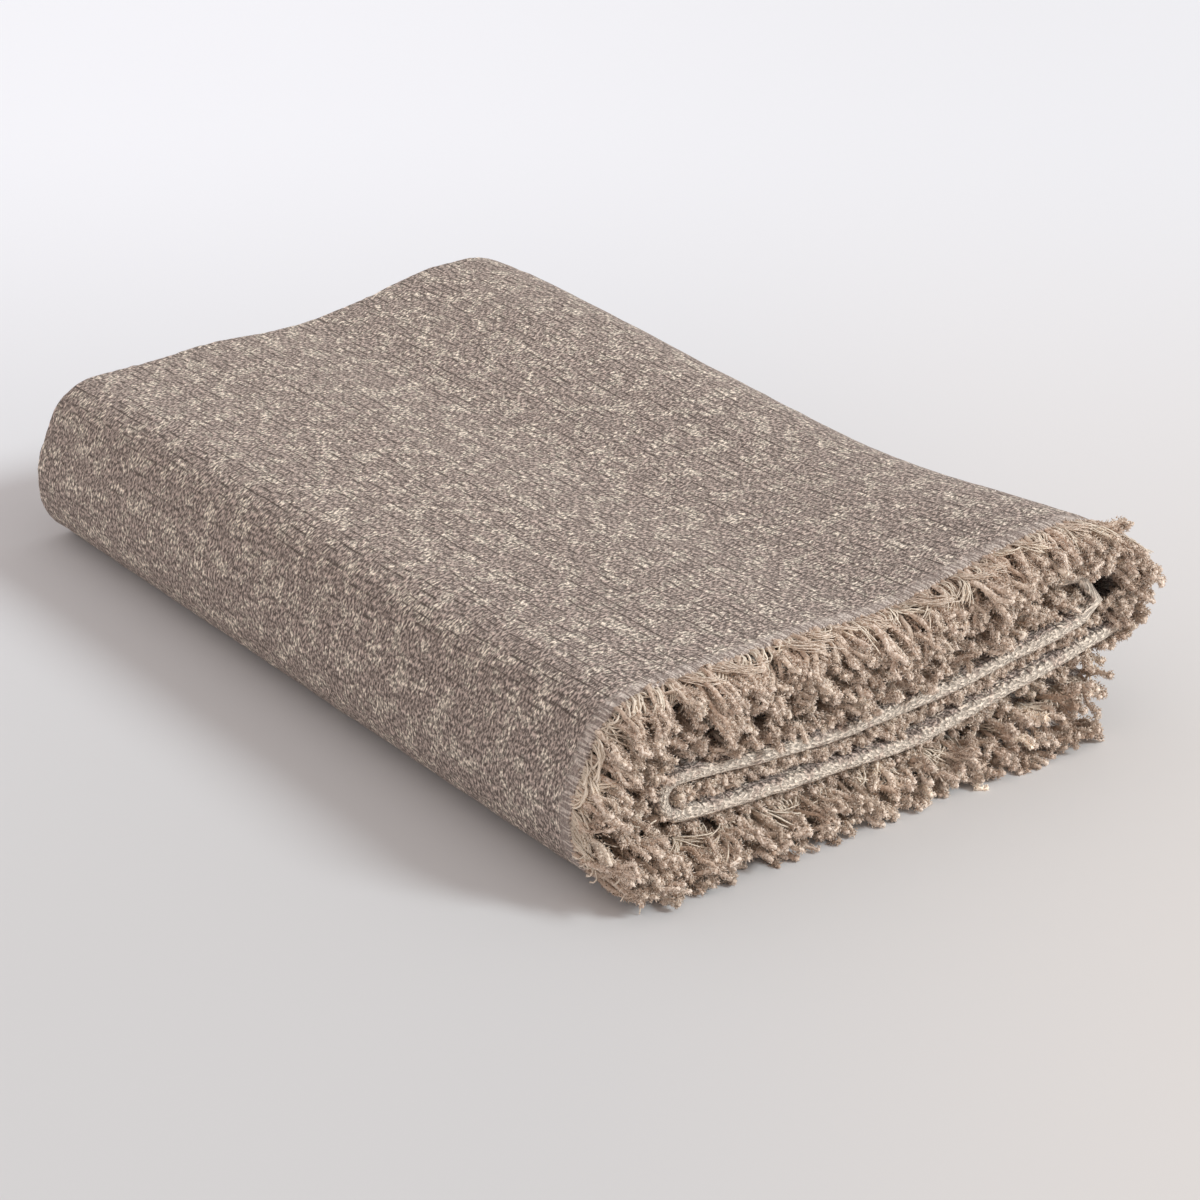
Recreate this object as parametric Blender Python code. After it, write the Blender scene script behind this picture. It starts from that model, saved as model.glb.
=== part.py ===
"""A sofa throw, folded: one chenille cloth with a fringe along both of its short edges.

The cloth is folded twice over. It goes back and forth along its length in four panels, which
brings both fringed edges to the +X end and makes a strip of four layers. The strip is then
rolled and folded across the width, in five levels: bottom, top, lower run, upper run and
tongue. X runs along the panels, Y across the levels, and the throw lies on Z = 0.
"""

import math

import bmesh
import bpy
import numpy as np

MM = 0.001

# Cloth as cut, and how it is folded.
CLOTH_LENGTH = 2600 * MM
LAYERS = 4
CLOTH_THICKNESS = 3.6 * MM
PANEL_LENGTH = CLOTH_LENGTH / LAYERS
FAR_END = -PANEL_LENGTH / 2
NEAR_END = PANEL_LENGTH / 2

# Fringe: the yarn ends, as a comb of pointed teeth along each short edge.
FRINGE_THICKNESS = CLOTH_THICKNESS
SPINE_DEPTH = 5 * MM
TOOTH_PITCH = 28 * MM
FRINGE_GAP = 0.3 * MM

# Path of the outermost layer's middle, across the folded strip, seen from the fringed end.
# Each row is a corner of that path, in millimetres:
# y and z     where the corner is
# radius      how far it is rounded
# pitch       spacing of the strip's four layers
# bend_out    how far the near bends stand out past the cloth's edge
# fringe      length of the fringe
# droop       how far the outer fringe's tips hang down
Y, Z, RADIUS, PITCH, BEND_OUT, FRINGE, DROOP = range(7)
BOTTOM = CLOTH_THICKNESS / 2 / MM
FOLDS = (
    # bottom level, from the free selvedge to the left
    (172, BOTTOM, 0, 11.5, 0, 30, 0),
    (70, BOTTOM, 0, 7.0, 0, 32, 0),
    (-206, BOTTOM, 37, 6.2, 0, 46, 0),
    (-213, 55, 60, 8.0, 0, 32, 2),
    (-188, 112, 40, 7.4, 0, 30, 7),
    # top level, to the right
    (-60, 119.5, 250, 6.0, 0, 30, 9),
    (8, 117, 150, 5.3, 0, 30, 9),
    (118, 141, 110, 5.4, 0, 30, 9),
    (163, 143, 60, 5.0, 0, 30, 6),
    (206, 113, 45, 5.0, 2, 28, 2),
    (211, 64, 25, 5.1, 9, 24, 0),
    # lower run, to the left
    (120, 51, 200, 5.1, 17, 20, 0),
    (20, 29, 150, 5.2, 17, 20, 0),
    (-70, 28.5, 300, 5.2, 17, 20, 0),
    (-167, 31, 19.2, 5.2, 15, 21, 0),
    (-167, 70, 19.2, 5.2, 15, 21, 0),
    # upper run, to the right
    (-35, 64.5, 200, 5.2, 17, 20, 0),
    (50, 72, 200, 5.2, 17, 20, 0),
    (157, 93.5, 4.3, 5.2, 17, 20, 0),
    (157, 102.1, 4.3, 5.2, 11, 20, 0),
    # tongue, back to the left, up to the inner selvedge
    (118, 96, 100, 5.2, 0, 22, 0),
    (30, 81.5, 200, 5.6, 0, 28, 0),
    (-50, 72.5, 200, 6.4, 0, 28, 0),
    (-124, 72.5, 0, 6.0, 0, 28, 0),
)
ARC_STEP = math.radians(30)
ARC_ROWS = 0.2  # share of a fold row that its rounded corner takes up
LONGEST_RUN = 128 * MM

# Height of the top along the panels: lower at the far end, and dished beside the right edge.
PANEL_STATIONS = (0.22, 0.12, 0.0, -0.16)
BEND_STEPS = 3
FAR_DROP = 0.025
DISH_DEPTH = 0.125
DISH_DEPTH_LEFT = 0.02
DISH_START, DISH_MIDDLE, DISH_END = -0.27, 0.12, 0.37
DISH_LEFT, DISH_RIGHT = -0.08, 0.15

CLOTH_COLOUR = (0.36, 0.295, 0.255)
FRINGE_COLOUR = (0.39, 0.31, 0.24)


def smooth_step(value, start, end):
    """0 before start, 1 after end, and a smooth ramp between them."""
    part = np.clip((value - start) / (end - start), 0, 1)
    return part * part * (3 - 2 * part)


def height_share(x, y):
    """What the strip's height at x and y is multiplied by."""
    rising = smooth_step(x, DISH_START, DISH_MIDDLE)
    falling = smooth_step(x, DISH_END, DISH_MIDDLE)
    depth = DISH_DEPTH_LEFT + (DISH_DEPTH - DISH_DEPTH_LEFT) * smooth_step(y, DISH_LEFT, DISH_RIGHT)
    far = FAR_DROP * (NEAR_END - x) / PANEL_LENGTH
    return 1 - far - depth * np.minimum(rising, falling)


def turned(vector, angle):
    """A vector of Y and Z, turned by an angle from Y towards Z."""
    cosine, sine = math.cos(angle), math.sin(angle)
    y, z = vector
    return np.array([y * cosine - z * sine, y * sine + z * cosine])


def rounded_path():
    """Stations along the folds' path: points, directions, and the fold row each one is at.

    The row is a fraction between two corners, so the table's other columns can be read there.
    """
    corners = np.array([(fold[Y] * MM, fold[Z] * MM) for fold in FOLDS])
    legs = np.diff(corners, axis=0)
    ways = legs / np.linalg.norm(legs, axis=1)[:, None]
    last = len(FOLDS) - 1
    points, directions, rows = [corners[0]], [ways[0]], [0.0]
    for row in range(1, last + 1):
        before = ways[row - 1]
        after = ways[min(row, last - 1)]
        angle = math.atan2(before[0] * after[1] - before[1] * after[0], before @ after)
        radius = FOLDS[row][RADIUS] * MM
        steps = math.ceil(abs(angle) / ARC_STEP) if radius else 0
        half_arc = ARC_ROWS / 2 if steps else 0
        run_start, run_row = points[-1], rows[-1]
        run_end = corners[row] - before * radius * math.tan(abs(angle) / 2)
        pieces = math.ceil(np.linalg.norm(run_end - run_start) / LONGEST_RUN)
        for piece in range(1, pieces + 1):
            part = piece / pieces
            points.append(run_start + (run_end - run_start) * part)
            directions.append(before)
            rows.append(run_row + (row - half_arc - run_row) * part)
        centre = run_end + turned(before, math.copysign(math.pi / 2, angle)) * radius
        for step in range(1, steps + 1):
            part = step / steps
            points.append(centre + turned(run_end - centre, angle * part))
            directions.append(turned(before, angle * part))
            rows.append(row - half_arc + ARC_ROWS * part)
    return np.array(points), np.array(directions), np.array(rows)


def column(name, row):
    """One column of the fold table in metres, at a row or between two."""
    return np.interp(row, range(len(FOLDS)), [fold[name] * MM for fold in FOLDS])


def inward(directions):
    """Unit vectors across the strip, from the outermost layer towards the innermost."""
    return np.stack([directions[:, 1], -directions[:, 0]], axis=1)


def strip_profile(pitch, bend_out):
    """The cloth's middle through the layers and bends, as (x, depth), and its normals.

    It starts at the outermost layer's near edge, and a bend joins each layer to the next.
    """
    radius = pitch / 2
    profile, normals = [], []
    for layer in range(LAYERS):
        way = -1 if layer % 2 == 0 else 1
        far = FAR_END + radius
        near = NEAR_END if layer in (0, LAYERS - 1) else NEAR_END + bend_out - radius
        stations = (near, *PANEL_STATIONS, far)[::-way]
        profile += [(x, layer * pitch) for x in stations]
        normals += [(0, way)] * len(stations)
        if layer == LAYERS - 1:
            break
        for step in range(1, BEND_STEPS):
            angle = math.pi * step / BEND_STEPS
            sine, cosine = math.sin(angle), math.cos(angle)
            depth = layer * pitch + radius * (1 - cosine)
            profile.append((stations[-1] + way * radius * sine, depth))
            normals.append((-sine, way * cosine))
    return np.array(profile), np.array(normals)


def in_space(x, depth, point, across):
    """Where a spot of the strip lies: x along the panels, depth into the strip."""
    y = point[0] + across[0] * depth
    z = point[1] + across[1] * depth
    return np.stack([x, y, z * height_share(x, y)], axis=-1)


def make_material(name, colour):
    material = bpy.data.materials.new(name)
    material.use_nodes = True
    shader = material.node_tree.nodes["Principled BSDF"]
    shader.inputs["Base Color"].default_value = (*colour, 1)
    shader.inputs["Roughness"].default_value = 0.95
    shader.inputs["Metallic"].default_value = 0.0
    return material


def make_object(name, points, faces, material):
    """A mesh object with its faces turned out."""
    mesh = bpy.data.meshes.new(name)
    mesh.from_pydata([tuple(point) for point in points], [], faces)
    shape = bmesh.new()
    shape.from_mesh(mesh)
    bmesh.ops.recalc_face_normals(shape, faces=shape.faces)
    bmesh.ops.triangulate(shape, faces=shape.faces)
    shape.to_mesh(mesh)
    shape.free()
    mesh.materials.append(material)
    piece = bpy.data.objects.new(name, mesh)
    bpy.context.scene.collection.objects.link(piece)
    return piece


def sheet_faces(rows, columns):
    """Quads of two grids of points, one for each side of a sheet, and of the rim between them."""
    side = rows * columns

    def at(row, column_index):
        return row * columns + column_index

    faces = []
    for row in range(rows - 1):
        for index in range(columns - 1):
            quad = (at(row, index), at(row, index + 1), at(row + 1, index + 1), at(row + 1, index))
            faces.append(quad)
            faces.append(tuple(corner + side for corner in reversed(quad)))
    rim = [at(0, index) for index in range(columns)]
    rim += [at(row, columns - 1) for row in range(1, rows)]
    rim += [at(rows - 1, index) for index in range(columns - 2, -1, -1)]
    rim += [at(row, 0) for row in range(rows - 2, 0, -1)]
    for start, end in zip(rim, rim[1:] + rim[:1]):
        faces.append((end, start, start + side, end + side))
    return faces


def make_cloth(path, material):
    """The whole cloth as one folded sheet."""
    points, directions, rows = path
    across = inward(directions)
    sides = {1: [], -1: []}
    for point, way, row in zip(points, across, rows):
        profile, normals = strip_profile(column(PITCH, row), column(BEND_OUT, row))
        for side, grid in sides.items():
            spot = profile + side * normals * CLOTH_THICKNESS / 2
            grid.append(in_space(spot[:, 0], spot[:, 1], point, way))
    columns = len(sides[1][0])
    vertices = np.concatenate([np.concatenate(sides[1]), np.concatenate(sides[-1])])
    return make_object("throw_cloth", vertices, sheet_faces(len(points), columns), material)


def tooth_stations(points, across, rows, layer):
    """Where the teeth of one layer's comb start and end, in stations of the path."""
    depths = layer * column(PITCH, rows)
    places = points + across * depths[:, None]
    stations = [0.0]
    for index, length in enumerate(np.linalg.norm(np.diff(places, axis=0), axis=1)):
        teeth = max(1, round(length / TOOTH_PITCH))
        stations += [index + tooth / teeth for tooth in range(1, teeth + 1)]
    return stations


def make_fringe(name, path, layer, droops, material):
    """A comb along one layer's near edge: a narrow spine with pointed teeth."""
    points, directions, rows = path
    across = inward(directions)
    root = NEAR_END + FRINGE_GAP
    valley = root + SPINE_DEPTH
    vertices, faces = [], []

    def read(values, station):
        return np.interp(station, np.arange(len(rows)), values)

    def add_pair(station, x, hang=0):
        """Two vertices, one on each side of the comb."""
        point = read(points[:, 0], station), read(points[:, 1], station)
        way = read(across[:, 0], station), read(across[:, 1], station)
        middle = layer * column(PITCH, read(rows, station))
        for depth in (middle - FRINGE_THICKNESS / 2, middle + FRINGE_THICKNESS / 2):
            vertices.append(in_space(np.array(x), depth, point, way) - (0, 0, hang))

    stations = tooth_stations(points, across, rows, layer)
    for station in stations:
        add_pair(station, root)
        add_pair(station, valley)
    for number, (start, end) in enumerate(zip(stations, stations[1:])):
        middle = (start + end) / 2
        row = read(rows, middle)
        tip = len(vertices)
        add_pair(middle, NEAR_END + column(FRINGE, row), column(DROOP, row) if droops else 0)
        near = 4 * number
        far = near + 4
        faces += [
            (near, far, far + 2, near + 2),
            (near + 1, near + 3, far + 3, far + 1),
            (near, near + 1, far + 1, far),
            (near + 2, far + 2, tip),
            (near + 3, tip + 1, far + 3),
            (near + 2, tip, tip + 1, near + 3),
            (far + 2, far + 3, tip + 1, tip),
        ]
    final = 4 * (len(stations) - 1)
    faces += [(0, 2, 3, 1), (final, final + 1, final + 3, final + 2)]
    return make_object(name, vertices, faces, material)


def main():
    for old in list(bpy.data.objects):
        bpy.data.objects.remove(old)
    path = rounded_path()
    cloth_material = make_material("throw_cloth", CLOTH_COLOUR)
    fringe_material = make_material("throw_fringe", FRINGE_COLOUR)
    pieces = [
        make_cloth(path, cloth_material),
        make_fringe("fringe_outer", path, 0, True, fringe_material),
        make_fringe("fringe_inner", path, LAYERS - 1, False, fringe_material),
    ]
    corners = np.array([vertex.co for piece in pieces for vertex in piece.data.vertices])
    middle = (corners.min(axis=0) + corners.max(axis=0)) / 2
    for piece in pieces:
        piece.location = (-middle[0], -middle[1], 0)


main()
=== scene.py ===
"""Looks of the folded sofa throw: the chenille cloth in its folds, and the loose fringe at its open end.

The cloth is one thin sheet on the fold path of part.py, with finer steps and an uneven surface. The
fringe is the yarn ends of the cloth's two short edges, each a core with a plush of small fibres round
it, and the fine threads between them, as a few joined meshes.

Lengths are in metres. The fold table, the thread runs and the textures are in millimetres.
"""

import math

import bmesh
import bpy
import numpy as np
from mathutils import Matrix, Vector

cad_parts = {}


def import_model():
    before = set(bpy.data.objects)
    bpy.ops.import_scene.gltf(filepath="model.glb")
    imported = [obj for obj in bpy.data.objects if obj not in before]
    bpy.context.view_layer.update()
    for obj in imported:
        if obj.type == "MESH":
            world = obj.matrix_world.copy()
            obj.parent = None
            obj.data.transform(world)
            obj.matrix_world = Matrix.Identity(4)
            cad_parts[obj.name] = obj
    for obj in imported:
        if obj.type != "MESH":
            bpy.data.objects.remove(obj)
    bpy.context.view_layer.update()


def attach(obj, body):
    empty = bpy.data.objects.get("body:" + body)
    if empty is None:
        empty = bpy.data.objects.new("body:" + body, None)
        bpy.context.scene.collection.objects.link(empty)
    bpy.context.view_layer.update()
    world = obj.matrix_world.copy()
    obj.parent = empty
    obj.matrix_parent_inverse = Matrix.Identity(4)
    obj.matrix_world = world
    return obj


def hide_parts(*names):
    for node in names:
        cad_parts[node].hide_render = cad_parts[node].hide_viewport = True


MM = 0.001

# Cloth as cut, and how it is folded, as in part.py.
CLOTH_LENGTH = 2600 * MM
LAYERS = 4
OUTERMOST, INNERMOST = 0, LAYERS - 1  # the two layers that have a fringe
CLOTH_THICKNESS = 3.6 * MM
PANEL_LENGTH = CLOTH_LENGTH / LAYERS
FAR_END = -PANEL_LENGTH / 2
NEAR_END = PANEL_LENGTH / 2
ORIGIN = (-22.388 * MM, 1.124 * MM, 0)  # of the fold path, from the middle of the throw's footprint

# Path of the outermost layer's middle across the folded strip, as in part.py, in millimetres:
# y and z     where the corner is
# radius      how far it is rounded
# pitch       spacing of the strip's four layers
# bend_out    how far the near bends stand out past the cloth's edge
# fringe      length of the fringe
# droop       how far the outer fringe's tips hang down
Y, Z, RADIUS, PITCH, BEND_OUT, FRINGE, DROOP = range(7)
BOTTOM = CLOTH_THICKNESS / 2 / MM
FOLDS = (
    # bottom level, from the free selvedge to the left
    (172, BOTTOM, 0, 11.5, 0, 30, 0),
    (70, BOTTOM, 0, 7.0, 0, 32, 0),
    (-206, BOTTOM, 37, 6.2, 0, 46, 0),
    (-213, 55, 60, 8.0, 0, 32, 2),
    (-188, 112, 40, 7.4, 0, 30, 7),
    # top level, to the right
    (-60, 119.5, 250, 6.0, 0, 30, 9),
    (8, 117, 150, 5.3, 0, 30, 9),
    (118, 141, 110, 5.4, 0, 30, 9),
    (163, 143, 60, 5.0, 0, 30, 6),
    (206, 113, 45, 5.0, 2, 28, 2),
    (211, 64, 25, 5.1, 9, 24, 0),
    # lower run, to the left
    (120, 51, 200, 5.1, 17, 20, 0),
    (20, 29, 150, 5.2, 17, 20, 0),
    (-70, 28.5, 300, 5.2, 17, 20, 0),
    (-167, 31, 19.2, 5.2, 15, 21, 0),
    (-167, 70, 19.2, 5.2, 15, 21, 0),
    # upper run, to the right
    (-35, 64.5, 200, 5.2, 17, 20, 0),
    (50, 72, 200, 5.2, 17, 20, 0),
    (157, 93.5, 4.3, 5.2, 17, 20, 0),
    (157, 102.1, 4.3, 5.2, 11, 20, 0),
    # tongue, back to the left, up to the inner selvedge
    (118, 96, 100, 5.2, 0, 22, 0),
    (30, 81.5, 200, 5.6, 0, 28, 0),
    (-50, 72.5, 200, 6.4, 0, 28, 0),
    (-124, 72.5, 0, 6.0, 0, 28, 0),
)
ARC_STEP = math.radians(4)
ARC_ROWS = 0.2  # share of a fold row that its rounded corner takes up
LONGEST_RUN = 4 * MM

# Height of the top along the panels, as in part.py.
FAR_DROP = 0.025
DISH_DEPTH = 0.125
DISH_DEPTH_LEFT = 0.02
DISH_START, DISH_MIDDLE, DISH_END = -0.27, 0.12, 0.37
DISH_LEFT, DISH_RIGHT = -0.08, 0.15

# Stations of the cloth's mesh.
SHOWN_ROWS = (1.8, 10.2)  # fold rows of the outer wall and the top, which show
SHOWN_STEP = 4.0 * MM
HIDDEN_STEP = 7.0 * MM
SHOWN_SPANS = 44  # of the outermost layer, from end to end
HIDDEN_SHARES = (0.05, 0.2, 0.4, 0.6, 0.8, 0.93, 0.97)  # of the other layers, from far to near
BEND_STEPS = 7
EDGE_STEPS = (0, 0.35 * MM, 1.0 * MM, 2.0 * MM)  # close stations that round a cut edge

# Unevenness: how far the cloth strays from its even folds, and over what distance.
SOFT_SHARE = 0.012  # of the height, in soft troughs through all the layers
SOFT_SIZE = 95 * MM
RELIEF = 0.35 * MM
RELIEF_SIZE = (14 * MM, 5 * MM)
NAP = 0.16 * MM
END_WANDER = 2.2 * MM
END_WANDER_SIZE = 45 * MM
CUT_WANDER = 0.4  # share of END_WANDER that the fringed edges have
FULL_BEND_OUT = 10 * MM  # bends that stand out this far wander fully

# Fringe
YARN_PITCH = 3.0 * MM
YARN_RADIUS = 1.6 * MM
YARN_SIDES = 5
YARN_RINGS = 7
YARN_SHARES = 1 - (1 - np.linspace(0, 1, YARN_RINGS)) ** 1.1  # of its length, where its rings are
YARN_ROOT = 2.5 * MM  # how far inside the cloth's edge a yarn starts
YARN_INSET = 0.5 * MM  # least distance from a selvedge
YARN_WOBBLE = 1.9 * MM
PILE_FIBRES = 132  # on each yarn
PILE_SPREAD = (1.1 * MM, 2.9 * MM)  # where the fibres start, out from the yarn's middle
PILE_SETBACK = 1.0 * MM  # and back towards the yarn's root
PILE_HALF_WIDTH = 0.52 * MM
PILE_LENGTH = (1.5 * MM, 2.8 * MM)
FIBRE_POINTS = 4  # the tip and the three corners of the base
FIBRE_FACES = ((0, 1, 2), (0, 2, 3), (0, 3, 1), (1, 3, 2))
THREAD_RADIUS = 0.45 * MM
THREAD_SIDES = 3
THREAD_RINGS = 10
THREAD_ROOT = 1.0 * MM
THREAD_INSET = 1.0 * MM
THREAD_WOBBLE = 0.7 * MM
BUNCH_HALF_WIDTH = (2, 5)  # in millimetres
ROOT_CAP, TIP_CAP = 0.3, 0.5  # how far a strand's ends bulge, as shares of its radius
# Painted shade along each strand: darker at its root, deep inside the fringe, and lighter at its tip
ROOT_PAINTED_SHADE, TIP_PAINTED_LIGHT = 0.6, 1.08  # how light a strand is at its root and at its tip
CLUMP_SIZE = 12 * MM
FULL_DROOP = 9 * MM
BESIDE_BEND = (5 * MM, 12 * MM)  # how far out a bend starts to shorten the yarns beside it, and fully
LEAST_HEIGHT = 0.1 * MM  # of the fringe above the floor
PIECES_PER_EDGE = 3  # joined meshes

# Room outside a fringe, up to the next fringe that it faces
MARK_STEP = 3 * MM  # between the spots that are looked at
LEAST_GAP = 1.5 * MM
WIDEST_GAP = 45 * MM
SAME_FOLD = 25 * MM  # stretch of its own layer that a fringe doesn't face
FREE_SPREAD = 2 * MM  # how far outward a yarn may lie where nothing faces it

# Textures, in millimetres apart from the bumps. A cell's sizes are along the panels, across them
# and deep, and the depth doesn't matter on the cloth, whose weave is flat.
GRAIN_CELL = (1.7, 3.0, 1)
PIT_CELL = (1.7, 2.6, 1)
RIB_PITCH = 6.0
RIB_DRIFT_CELL = (50, 25, 1)
RIB_BREAK_CELL = (16, 4.5, 1)
FLECK_CELL = (2.0, 3.2, 1)
FLECK_PATCH_CELL = (16, 13, 1)
TAUPE_CELL = (70, 50, 1)
RUNG_CELL = (14, 1.5, 1)
BARE_BAND = (6, 13)  # beside a fringe the warp shows up to the first, and is gone at the second
YARN_PATCH_CELL = (3.2, 3.2, 3.2)
YARN_SPECKLE_CELL = (1.3, 1.3, 1.3)
BEND_FINENESS = 0.9  # share by which the weave is finer on the near bends
OTHER_SIDE = (37, 53, 0)  # shift of the weave on the sheet's other side
CLOTH_BUMP = 1.0 * MM
YARN_BUMP = 0.4 * MM

# Colours, as linear red, green and blue, and alpha where a shader's colour needs it
TAUPE_LIGHT = (0.465, 0.375, 0.332, 1)
TAUPE_DARK = (0.40, 0.322, 0.286, 1)
TAUPE_BENT = (0.69, 0.555, 0.465, 1)
FLECK = (0.88, 0.785, 0.665, 1)
# painted shade in the pile's pits and furrows
HOLLOW_SHADE = (0.085, 0.06, 0.05, 1)
WARP_GAP = (0.37, 0.30, 0.27, 1)
WARP = (0.82, 0.72, 0.65, 1)
YARN_DARK = (0.60, 0.44, 0.335, 1)
YARN_LIGHT = (0.95, 0.80, 0.685, 1)
BEIGE = (0.95, 0.83, 0.69)
# Painted light on the floor: its colour is lighter and cooler behind, and graded from left to right, for
# how the studio's light falls on it
FLOOR_NEAR = (0.64, 0.64, 0.65, 1), (0.725, 0.705, 0.695, 1)  # on the left and on the right
FLOOR_BEHIND = (0.885, 0.905, 0.96, 1), (0.835, 0.855, 0.90, 1)
WORLD_COLOUR = (1.0, 0.92, 0.885, 1)

# How the fabric's pile takes the light: dull, with soft edge light
FABRIC = {
    "Roughness": 0.9,
    "Specular IOR Level": 0.2,
    "Sheen Weight": 0.25,
    "Sheen Roughness": 0.45,
    "Sheen Tint": (0.9, 0.84, 0.76, 1),
}

# Camera, high in front of the fringed end's left corner, its lens and sensor in millimetres
CAMERA_PLACE = (1.6313, -1.1396, 0.8792)
CAMERA_TARGET = (0.0647, -0.0221, 0.05)
CAMERA_LENS = 99
CAMERA_SENSOR = 36

# Floor
FLOOR_SIZE = 200
BACKWARD = (-0.81, 0.58, 0)  # along the floor, away from the camera
RIGHTWARD = (0.58, 0.81, 0)


# ---- fold path, as in part.py ----


def smooth_step(value, start, end):
    """0 before start, 1 after end, and a smooth ramp between them."""
    part = np.clip((value - start) / (end - start), 0, 1)
    return part * part * (3 - 2 * part)


def turned(vector, angle):
    """A vector of Y and Z, turned by an angle from Y towards Z."""
    cosine, sine = math.cos(angle), math.sin(angle)
    y, z = vector
    return np.array([y * cosine - z * sine, y * sine + z * cosine])


def rounded_path():
    """Stations along the folds' path: points, directions, and the fold row each one is at.

    The row is a fraction between two corners, so the table's other columns can be read there.
    """
    corners = np.array([(fold[Y] * MM, fold[Z] * MM) for fold in FOLDS])
    legs = np.diff(corners, axis=0)
    ways = legs / np.linalg.norm(legs, axis=1)[:, None]
    last = len(FOLDS) - 1
    points, directions, rows = [corners[0]], [ways[0]], [0.0]
    for row in range(1, last + 1):
        before = ways[row - 1]
        after = ways[min(row, last - 1)]
        angle = math.atan2(before[0] * after[1] - before[1] * after[0], before @ after)
        radius = FOLDS[row][RADIUS] * MM
        steps = math.ceil(abs(angle) / ARC_STEP) if radius else 0
        half_arc = ARC_ROWS / 2 if steps else 0
        run_start, run_row = points[-1], rows[-1]
        run_end = corners[row] - before * radius * math.tan(abs(angle) / 2)
        pieces = math.ceil(np.linalg.norm(run_end - run_start) / LONGEST_RUN)
        for piece in range(1, pieces + 1):
            part = piece / pieces
            points.append(run_start + (run_end - run_start) * part)
            directions.append(before)
            rows.append(run_row + (row - half_arc - run_row) * part)
        centre = run_end + turned(before, math.copysign(math.pi / 2, angle)) * radius
        for step in range(1, steps + 1):
            part = step / steps
            points.append(centre + turned(run_end - centre, angle * part))
            directions.append(turned(before, angle * part))
            rows.append(row - half_arc + ARC_ROWS * part)
    return np.array(points), np.array(directions), np.array(rows)


def column(name, row):
    """One column of the fold table in metres, at a row or between two."""
    return np.interp(row, range(len(FOLDS)), [fold[name] * MM for fold in FOLDS])


class FoldPath:
    """The folds' path by its length."""

    def __init__(self):
        points, directions, rows = rounded_path()
        steps = np.linalg.norm(np.diff(points, axis=0), axis=1)
        self.along = np.concatenate([[0], np.cumsum(steps)])
        self.points = points
        self.angles = np.unwrap(np.arctan2(directions[:, 1], directions[:, 0]))
        self.rows = rows
        self.length = self.along[-1]

    def row(self, along):
        return np.interp(along, self.along, self.rows)

    def where(self, row):
        """How far along the path a fold row is."""
        return np.interp(row, self.rows, self.along)

    def point(self, along):
        """Y and Z of the path."""
        return [np.interp(along, self.along, self.points[:, axis]) for axis in (0, 1)]

    def way(self, along):
        """Y and Z of the path's direction."""
        angle = np.interp(along, self.along, self.angles)
        return np.cos(angle), np.sin(angle)


def height_share(x, y):
    """What the strip's height at x and y is multiplied by."""
    rising = smooth_step(x, DISH_START, DISH_MIDDLE)
    falling = smooth_step(x, DISH_END, DISH_MIDDLE)
    depth = DISH_DEPTH_LEFT + (DISH_DEPTH - DISH_DEPTH_LEFT) * smooth_step(y, DISH_LEFT, DISH_RIGHT)
    far = FAR_DROP * (NEAR_END - x) / PANEL_LENGTH
    return 1 - far - depth * np.minimum(rising, falling)


# ---- unevenness ----


class Waves:
    """Smooth random values between -1 and 1 over a plane, the same ones each run."""

    CELLS = 64  # after which the values repeat
    START = 1000  # cells before zero, which keeps the places positive

    def __init__(self, seed, size_x, size_y):
        self.values = np.random.default_rng(seed).uniform(-1, 1, (self.CELLS, self.CELLS))
        self.sizes = size_x, size_y

    def __call__(self, x, y):
        x, y = np.broadcast_arrays(x / self.sizes[0], y / self.sizes[1])
        x, y = x + self.START, y + self.START
        left, low = np.floor(x).astype(int), np.floor(y).astype(int)
        right_share, high_share = smooth_step(x - left, 0, 1), smooth_step(y - low, 0, 1)

        def corner(over, up):
            return self.values[(left + over) % self.CELLS, (low + up) % self.CELLS]

        below = corner(0, 0) * (1 - right_share) + corner(1, 0) * right_share
        above = corner(0, 1) * (1 - right_share) + corner(1, 1) * right_share
        return below * (1 - high_share) + above * high_share


SOFT = Waves(11, SOFT_SIZE, SOFT_SIZE)


def in_space(path, along, x, depth):
    """Where a spot of the strip lies: along the path, x along the panels, depth into the strip."""
    y, z = path.point(along)
    way_y, way_z = path.way(along)
    y = y + way_z * depth
    z = z - way_y * depth
    z = z * height_share(x, y) * (1 + SOFT_SHARE * SOFT(x, y))
    x, y, z = np.broadcast_arrays(x, y, z)
    return np.stack([x + ORIGIN[0], y + ORIGIN[1], z + ORIGIN[2]], axis=-1)


# ---- cloth ----


def cloth_stations(path):
    """Stations along the path, closer where the cloth shows and at its two selvedges."""
    shown = [path.where(row) for row in SHOWN_ROWS]
    stops = (0, *shown, path.length)
    steps = (HIDDEN_STEP, SHOWN_STEP, HIDDEN_STEP)
    stations = []
    for start, end, step in zip(stops, stops[1:], steps):
        stations.append(np.linspace(start, end, math.ceil((end - start) / step), endpoint=False))
    middle = np.concatenate(stations)
    last = EDGE_STEPS[-1]
    middle = middle[(middle > last * 1.5) & (middle < path.length - last * 1.5)]
    return np.concatenate([EDGE_STEPS, middle, path.length - np.array(EDGE_STEPS[::-1])])


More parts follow.
